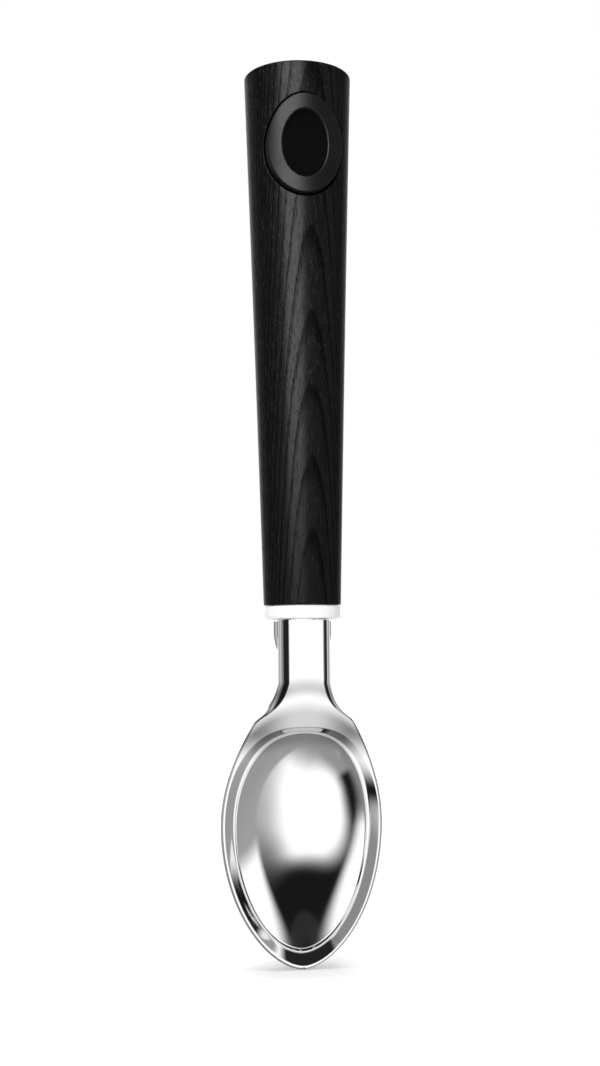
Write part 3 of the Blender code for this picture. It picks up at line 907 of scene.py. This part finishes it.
def weigh(sums, *pairs):
    first, second = (sums("MULTIPLY", value, weight) for value, weight in pairs)
    return sums("ADD", first, second)


def bump(node, height, distance, **under):
    dent = {"Height": height, "Distance": distance, "Strength": 1.0, **under}
    return node("ShaderNodeBump", dent).outputs[0]


def link(tree, shader, **outputs):
    for name, output in outputs.items():
        tree.links.new(output, shader.inputs[name.replace("_", " ")])


def setSurface(tree, shader, surface):
    # Puts another surface in the place of the usual shader.
    tree.nodes.remove(shader)
    tree.links.new(surface, tree.nodes["Material Output"].inputs["Surface"])


chromeLook = {
    "bright": (0.815, 0.818, 0.822),
    "dull": (0.785, 0.788, 0.795),
    "shoulder": (0.5, 0.502, 0.506),  # painted shade on the casting above the bowl, which greys its reflection there
    # darker still towards the sides: more painted shade
    "shoulderSideShade": (0.17, 0.172, 0.175),
    "shoulderMiddle": (2 * mm, 12 * mm),
    "shoulderTop": (-133.5 * mm, -138 * mm),
    "shoulderArc": 33.0,  # how much lower the painted shade starts towards the sides
    # A narrow band of painted shade above it: where it starts, is full and ends.
    "paintedShadeBand": (-128 * mm, -131.5 * mm, -134.5 * mm),
    "shoulderFoot": (-142 * mm, -150 * mm),
    "shoulderFront": (1 * mm, 4 * mm),
    "roughness": (0.03, 0.055),
    "broadGrain": (9.0, 9.0, 14.0),
    "polishMarks": (0.5, 0.5, 7.0),
    "markDepth": 0.0012 * mm,
}


def castChrome():
    look = chromeLook
    material, tree, shader, node, sums = newMaterial("polishedCastMetal")
    place, grain = grainMaker(node)
    broad = grain(look["broadGrain"], 3.0)
    marks = grain(look["polishMarks"], 3.0, 0.6)
    shader.inputs["Metallic"].default_value = 1.0
    rough = span(node, weigh(sums, (broad, 0.7), (marks, 0.3)), *look["roughness"])
    colour = blend(node, span(node, broad, 0.0, 1.0), look["bright"], look["dull"])
    apart = node("ShaderNodeSeparateXYZ", {0: place}).outputs

    def within(value, low, high, limits):
        return span(node, value, low, high, *limits, True)

    # Painted shade: the metal's colour is darkened on the shoulder above the bowl, most towards its
    # sides and in a narrow band above, so its reflection there comes out grey.
    aside = sums("ABSOLUTE", apart["X"])
    arc = sums("MULTIPLY", sums("MULTIPLY", aside, aside), look["shoulderArc"])
    height = sums("ADD", apart["Z"], arc)
    paintedShade = within(height, 0.0, 1.0, look["shoulderTop"])
    paintedShade = sums("MULTIPLY", paintedShade, within(apart["Z"], 1.0, 0.0, look["shoulderFoot"]))
    paintedShadeBand = within(height, 0.0, 1.0, look["paintedShadeBand"][:2])
    paintedShadeBand = sums("MULTIPLY", paintedShadeBand, within(height, 1.0, 0.0, look["paintedShadeBand"][1:]))
    paintedShade = sums("MAXIMUM", paintedShade, paintedShadeBand)
    paintedShade = sums("MULTIPLY", paintedShade, within(apart["Y"], 1.0, 0.0, look["shoulderFront"]))
    toSide = within(aside, 0.0, 1.0, look["shoulderMiddle"])
    skin = blend(node, toSide, look["shoulder"], look["shoulderSideShade"])
    link(tree, shader, Base_Color=blend(node, paintedShade, colour, skin), Roughness=rough)
    link(tree, shader, Normal=bump(node, marks, look["markDepth"]))
    return material


# Ash, cut so that its year rings lie almost flat to the front: they surface as pointed arches

ashLook = {
    "late": (0.0066, 0.0066, 0.0064),
    "early": (0.0014, 0.0014, 0.0014),
    "pore": (0.0006, 0.0006, 0.0006),
    "ring": 1.0,  # mm from one year ring to the next
    "across": 6.7,  # degrees from the front to the direction that the rings face
    "climb": 0.082,  # how far the rings lean, mm outward for each mm down the handle
    "firstRing": 0.63,
    "wander": 0.6,  # mm that a ring strays over a long way
    "wanderGrain": (16.0, 16.0, 45.0),
    "jitter": 0.16,  # and over a short one
    "jitterGrain": (2.2, 2.2, 16.0),
    "earlyStart": 0.1,
    "earlyShare": 0.5,
    "gloss": (0.036, 0.018),  # of the dense late wood and of the open early wood
    "roughness": (0.24, 0.36),
    "fibreGrain": (0.35, 0.35, 9.0),
    "fibreDepth": 0.012 * mm,
    "poreGrain": (0.2, 0.2, 2.6),
    "poreLimits": (0.58, 0.66),
    "poreDepth": 0.07 * mm,
}


def stainedAsh():
    look = ashLook
    material, tree, shader, node, sums = newMaterial("blackStainedAsh")
    place, grain = grainMaker(node)
    apart = node("ShaderNodeSeparateXYZ", {0: place}).outputs
    across = math.radians(look["across"])
    outward = sums("MULTIPLY", apart["X"], 1000 * math.sin(across))
    outward = sums("SUBTRACT", outward, sums("MULTIPLY", apart["Y"], 1000 * math.cos(across)))
    outward = sums("SUBTRACT", outward, sums("MULTIPLY", apart["Z"], 1000 * look["climb"]))
    slow = sums("SUBTRACT", grain(look["wanderGrain"], 1.0), 0.5)
    quick = sums("SUBTRACT", grain(look["jitterGrain"], 2.0), 0.5)
    outward = sums("ADD", outward, sums("MULTIPLY", slow, look["wander"]))
    outward = sums("ADD", outward, sums("MULTIPLY", quick, look["jitter"]))
    ring = sums("DIVIDE", sums("SUBTRACT", outward, look["firstRing"]), look["ring"])
    phase = sums("FRACT", ring)
    start = span(node, phase, 0.0, 1.0, 0.0, look["earlyStart"], True)
    fade = span(node, phase, 1.0, 0.0, 0.05, look["earlyShare"], True)
    early = sums("MULTIPLY", start, fade)

    fibre = grain(look["fibreGrain"], 3.0, 0.6)
    shade = sums("ADD", sums("MULTIPLY", early, 0.85), span(node, fibre, 0.3, -0.15))
    colour = blend(node, shade, look["late"], look["early"])
    pores = span(node, grain(look["poreGrain"], 1.0), 0.0, 1.0, *look["poreLimits"], True)
    pores = sums("MULTIPLY", pores, span(node, early, 0.3, 1.0, 0.05, 0.5))
    colour = blend(node, pores, colour, look["pore"])
    rough = weigh(sums, (early, 0.6), (fibre, 0.5))
    rough = span(node, rough, *look["roughness"], 0.1, 0.9)
    gloss = span(node, shade, *look["gloss"], 0.0, 0.9)
    strands = bump(node, fibre, look["fibreDepth"])
    pits = bump(node, sums("SUBTRACT", 1.0, pores), look["poreDepth"], Normal=strands)
    link(tree, shader, Base_Color=colour, Specular_IOR_Level=gloss)
    link(tree, shader, Roughness=rough, Normal=pits)
    return material


# Moulded plastics: a fine skin over slow changes of gloss

slowGrain = (4.0, 4.0, 6.0)
plasticLooks = {
    "blackMouldedPlastic": {
        "colours": ((0.0085, 0.0085, 0.0089), (0.0062, 0.0062, 0.0066)),
        "roughness": (0.3, 0.4),
        "gloss": 0.045,
        "skin": 0.35,
        "skinDepth": 0.0022 * mm,
    },
    "whiteMouldedPlastic": {
        "colours": ((0.875, 0.873, 0.868), (0.84, 0.838, 0.832)),
        "roughness": (0.26, 0.36),
        "gloss": 0.5,
        "skin": 0.5,
        "skinDepth": 0.0015 * mm,
    },
}


def mouldedPlastic(name):
    look = plasticLooks[name]
    material, tree, shader, node, sums = newMaterial(name)
    _, grain = grainMaker(node)
    slow = grain(slowGrain, 3.0)
    skin = grain((look["skin"],) * 3, 2.0, 0.6)
    shader.inputs["Specular IOR Level"].default_value = look["gloss"]
    colour = blend(node, span(node, slow, 0.0, 1.0), *look["colours"])
    rough = span(node, weigh(sums, (slow, 0.6), (skin, 0.4)), *look["roughness"])
    dent = bump(node, skin, look["skinDepth"])
    link(tree, shader, Base_Color=colour, Roughness=rough, Normal=dent)
    return material


steelLook = {
    "bright": (0.56, 0.56, 0.57),
    "dull": (0.42, 0.42, 0.425),
    "roughness": (0.28, 0.42),
    "drawnGrain": (0.15, 0.15, 12.0),
    "drawnDepth": 0.004 * mm,
}


def drawnSteel():
    look = steelLook
    material, tree, shader, node, _ = newMaterial("plainSteel")
    _, grain = grainMaker(node)
    lines = grain(look["drawnGrain"], 3.0, 0.6)
    shader.inputs["Metallic"].default_value = 1.0
    colour = blend(node, span(node, lines, 0.0, 1.0), look["bright"], look["dull"])
    dent = bump(node, lines, look["drawnDepth"])
    rough = span(node, lines, *look["roughness"])
    link(tree, shader, Base_Color=colour, Roughness=rough, Normal=dent)
    return material


chrome = castChrome()
ash = stainedAsh()
blackPlastic = mouldedPlastic("blackMouldedPlastic")
whitePlastic = mouldedPlastic("whiteMouldedPlastic")
tangSteel = drawnSteel()

handle = smoothShade(makeHandle(ash), handleCuts["crease"])
print("handle:", len(handle.data.polygons), "faces")
frontEyelet = makeEyelet("frontEyelet", True, -1)
rearEyelet = makeEyelet("rearEyelet", False, 1)
collar = makeCollar()
print("eyelet and collar made")

for piece, node, material, slot in (
    (scoopHead, "scoop_head", chrome, "polished_cast_metal"),
    (handle, "handle", ash, "black_stained_ash"),
    (frontEyelet, "eyelet_front", blackPlastic, "black_moulded_plastic"),
    (rearEyelet, "eyelet_rear", blackPlastic, "black_moulded_plastic"),
    (collar, "ferrule", whitePlastic, "white_moulded_plastic"),
):
    piece.data.materials.clear()
    piece.data.materials.append(material)
    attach(piece, "root")
    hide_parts(node)

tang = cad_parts["tang"]
tang.data.materials.clear()
tang.data.materials.append(tangSteel)

# Stage: a pale floor, a white room with soft dark and light areas for the metal to show, and a
# black card of painted shade in the hanging hole

floorLook = {
    "side": 3.0,
    "gap": 0.2 * mm,
    "grey": 0.8,
    "glow": (0.0, 1.0),  # near the object, where its shadow shows, and far away
    "fade": (0.1, 0.6),  # the metres between which one turns into the other
}


def makeFloor():
    side, height = floorLook["side"], cadBox[0][2] - floorLook["gap"]
    corners = [(-side, -side), (side, -side), (side, side), (-side, side)]
    floor = addPiece("floor", [(x, y, height) for x, y in corners], [(0, 1, 2, 3)])
    material, tree, shader, node, sums = newMaterial("paleFloor")
    grey = (floorLook["grey"],) * 3 + (1.0,)
    diffuse = node("ShaderNodeBsdfDiffuse", {"Color": grey})
    place = node("ShaderNodeTexCoord").outputs["Object"]
    apart = node("ShaderNodeVectorMath", {0: place}, operation="LENGTH").outputs["Value"]
    level = span(node, apart, *floorLook["glow"], *floorLook["fade"])
    seen = node("ShaderNodeLightPath").outputs["Is Camera Ray"]
    glow = node("ShaderNodeEmission", {"Strength": sums("MULTIPLY", seen, level)})
    both = node("ShaderNodeAddShader", {0: diffuse.outputs[0], 1: glow.outputs[0]})
    setSurface(tree, shader, both.outputs[0])
    floor.data.materials.append(material)
    floor.visible_glossy = False


# Each area of the room is an oval of directions, in degrees: azimuth 0 is in front of the bowl and
# grows towards its right side, elevation 0 is level. "soft" is the width of its edge at the sides
# and above. A later area is laid over those before it, and what lies within the arch goes on top.


def area(at, half, soft, square, level=None):
    return {"at": at, "half": half, "soft": soft, "square": square, "level": level}


room = {
    "wall": 1.3,
    "lowLeft": area((-86, -50), (26, 36), soft=(0.2, 0.2), square=3.0, level=0.3),
    "lowRight": area((98, -46), (36, 48), soft=(0.25, 0.1), square=4.0, level=0.42),
    "floor": area((0, -90), (999, 20), soft=(0.2, 0.2), square=2.0, level=0.38),
    "left": area((-108, 0), (39, 120), soft=(0.06, 0.1), square=4.0, level=0.31),
    "leftDark": area((-99, 0), (11, 120), soft=(0.3, 0.1), square=4.0, level=0.02),
    "right": area((114, 0), (32, 120), soft=(0.1, 0.1), square=4.0, level=0.38),
    "leftLight": area((-126, 0), (4.5, 120), soft=(0.3, 0.1), square=4.0, level=0.7),
    "rightDark": area((112, 0), (9, 120), soft=(0.3, 0.1), square=4.0, level=0.03),
    "rightLight": area((126, 0), (4.5, 120), soft=(0.3, 0.1), square=4.0, level=0.7),
    "below": area((180, -62), (60, 30), soft=(0.2, 0.2), square=3.0, level=0.04),
    "overhead": area((0, 90), (999, 46), soft=(0.1, 0.1), square=2.0, level=0.02),
}
arch = area((4.5, -40), (72, 79), soft=(0.03, 0.03), square=2.1)
withinArch = {
    "wall": 0.01,
    "floor": area((0, -90), (999, 36), soft=(0.1, 0.1), square=2.0, level=0.36),
    "pale": area((20, -31), (80, 46), soft=(0.05, 0.17), square=3.2, level=1.3),
    "grey": area((142, 12), (97, 130), soft=(0.26, 0.26), square=1.6, level=0.5),
    "dimCorner": area((85, 22), (55, 26), soft=(0.6, 0.6), square=2.0, level=0.05),
    "top": area((0, 90), (999, 77), soft=(0.12, 0.12), square=2.0, level=0.01),
    "ledge": area((1, 34.0), (40, 1.8), soft=(0.2, 0.4), square=3.0, level=0.03),
}
ambient = 0.35  # how brightly the room lights the colours


def softAreaTree():
    tree = bpy.data.node_groups.new("softArea", "ShaderNodeTree")
    names = ("Azimuth", "Elevation", "At Azimuth", "At Elevation", "Half Width", "Half Height")
    for name in (*names, "Square", "Soft Across", "Soft Up", "Level", "Under"):
        tree.interface.new_socket(name=name, in_out="INPUT", socket_type="NodeSocketFloat")
    tree.interface.new_socket(name="Level", in_out="OUTPUT", socket_type="NodeSocketFloat")
    node, sums = addNodes(tree)
    given = node("NodeGroupInput").outputs
    across = sums("WRAP", sums("SUBTRACT", given["Azimuth"], given["At Azimuth"]), 180.0, -180.0)
    up = sums("SUBTRACT", given["Elevation"], given["At Elevation"])
    across, up = (
        sums("POWER", sums("ABSOLUTE", sums("DIVIDE", value, given[half])), given["Square"])
        for value, half in ((across, "Half Width"), (up, "Half Height"))
    )
    both = sums("ADD", across, up)
    out = sums("POWER", both, sums("DIVIDE", 1.0, given["Square"]))
    steep = sums("SUBTRACT", given["Soft Up"], given["Soft Across"])
    steep = sums("MULTIPLY", steep, sums("DIVIDE", up, sums("MAXIMUM", both, 0.0001)))
    soft = sums("ADD", given["Soft Across"], steep)
    inner, outer = sums("SUBTRACT", 1.0, soft), sums("ADD", 1.0, soft)
    share = span(node, out, 1.0, 0.0, inner, outer, True)
    change = sums("MULTIPLY", share, sums("SUBTRACT", given["Level"], given["Under"]))
    node("NodeGroupOutput", {"Level": sums("ADD", given["Under"], change)})
    return tree


def makeWorld():
    world = bpy.data.worlds.new("studio")
    bpy.context.scene.world = world
    world.use_nodes = True
    tree = world.node_tree
    node, sums = addNodes(tree)
    way = node("ShaderNodeTexCoord").outputs["Generated"]
    apart = node("ShaderNodeSeparateXYZ", {0: way}).outputs
    forward = sums("MULTIPLY", apart["Y"], -1.0)
    azimuth = sums("DEGREES", sums("ARCTAN2", apart["X"], forward))
    elevation = sums("DEGREES", sums("ARCSINE", apart["Z"]))
    softArea = softAreaTree()

    def lay(spot, level, under):
        # The values in the order of the group's inputs.
        values = [azimuth, elevation, *spot["at"], *spot["half"], spot["square"], *spot["soft"]]
        values += [level, under]
        return node("ShaderNodeGroup", enumerate(values), node_tree=softArea).outputs["Level"]

    levels = []
    for areas in (room, withinArch):
        level = areas["wall"]
        for name, spot in areas.items():
            if name != "wall":
                level = lay(spot, spot["level"], level)
        levels.append(level)
    level = lay(arch, levels[1], levels[0])
    ray = node("ShaderNodeLightPath").outputs
    mirrored = sums("MAXIMUM", ray["Is Glossy Ray"], ray["Is Transmission Ray"])
    rest = sums("SUBTRACT", 1.0, sums("MAXIMUM", ray["Is Camera Ray"], mirrored))
    total = sums("ADD", ray["Is Camera Ray"], sums("MULTIPLY", mirrored, level))
    total = sums("ADD", total, sums("MULTIPLY", rest, ambient))
    tree.links.new(total, tree.nodes["Background"].inputs["Strength"])
    tree.nodes["Background"].inputs["Color"].default_value = (1.0, 1.0, 1.0, 1.0)


# Two soft lamps light the colours and don't show in the metal. The third shows only in the gloss
# of the handle and its eyelet.

lamps = {
    "frontLamp": {"at": (-0.35, -1.0, 0.2), "aim": (0.0, 0.0, -0.1), "size": 0.9, "power": 8.5},
    "topLamp": {"at": (0.0, 0.06, 0.9), "aim": (0.0, 0.0, -0.2), "size": 1.1, "power": 13.0},
    "sheenLamp": {"at": (-0.27, -0.71, 0.27), "aim": (0, 0, -0.01), "size": 0.66, "power": 45.0},
}


def makeLamps():
    made = {}
    for name, look in lamps.items():
        data = bpy.data.lights.new(name, "AREA")
        data.size = look["size"]
        data.energy = look["power"]
        lamp = made[name] = bpy.data.objects.new(name, data)
        bpy.context.scene.collection.objects.link(lamp)
        lamp.location = look["at"]
        way = Vector(look["aim"]) - Vector(look["at"])
        lamp.rotation_euler = way.to_track_quat("-Z", "Y").to_euler()
        sheen = name == "sheenLamp"
        lamp.visible_glossy, lamp.visible_diffuse = sheen, not sheen
    lit = bpy.data.collections.new("sheen")
    for piece in (handle, frontEyelet, rearEyelet):
        lit.objects.link(piece)
    made["sheenLamp"].light_linking.receiver_collection = lit


boreShadeCard = {"place": -12.3 * mm, "overlap": 0.2 * mm, "steps": 64, "colour": (0.004,) * 3}


def makeBoreShadeCard():
    # A black card in the mouth of the hanging hole: painted shade that stands in for the dark seen
    # through it. Only its front shows.
    across, up = (eyeletForm[size] * mm + boreShadeCard["overlap"] for size in ("holeX", "holeZ"))
    place, turns = boreShadeCard["place"], fullTurn(boreShadeCard["steps"])
    points = [(across * math.cos(turn), place, up * math.sin(turn)) for turn in turns]
    card = addPiece("boreShadeCard", points, [tuple(range(len(points)))])
    material, tree, shader, node, _ = newMaterial("paintedBoreShade")
    black = node("ShaderNodeBsdfDiffuse", {"Color": (*boreShadeCard["colour"], 1.0)})
    clear = node("ShaderNodeBsdfTransparent")
    behind = node("ShaderNodeNewGeometry").outputs["Backfacing"]
    both = node("ShaderNodeMixShader", {0: behind, 1: black.outputs[0], 2: clear.outputs[0]})
    setSurface(tree, shader, both.outputs[0])
    card.data.materials.append(material)
    card.visible_shadow = False


makeLamps()
makeBoreShadeCard()
makeFloor()
makeWorld()
print("stage made")
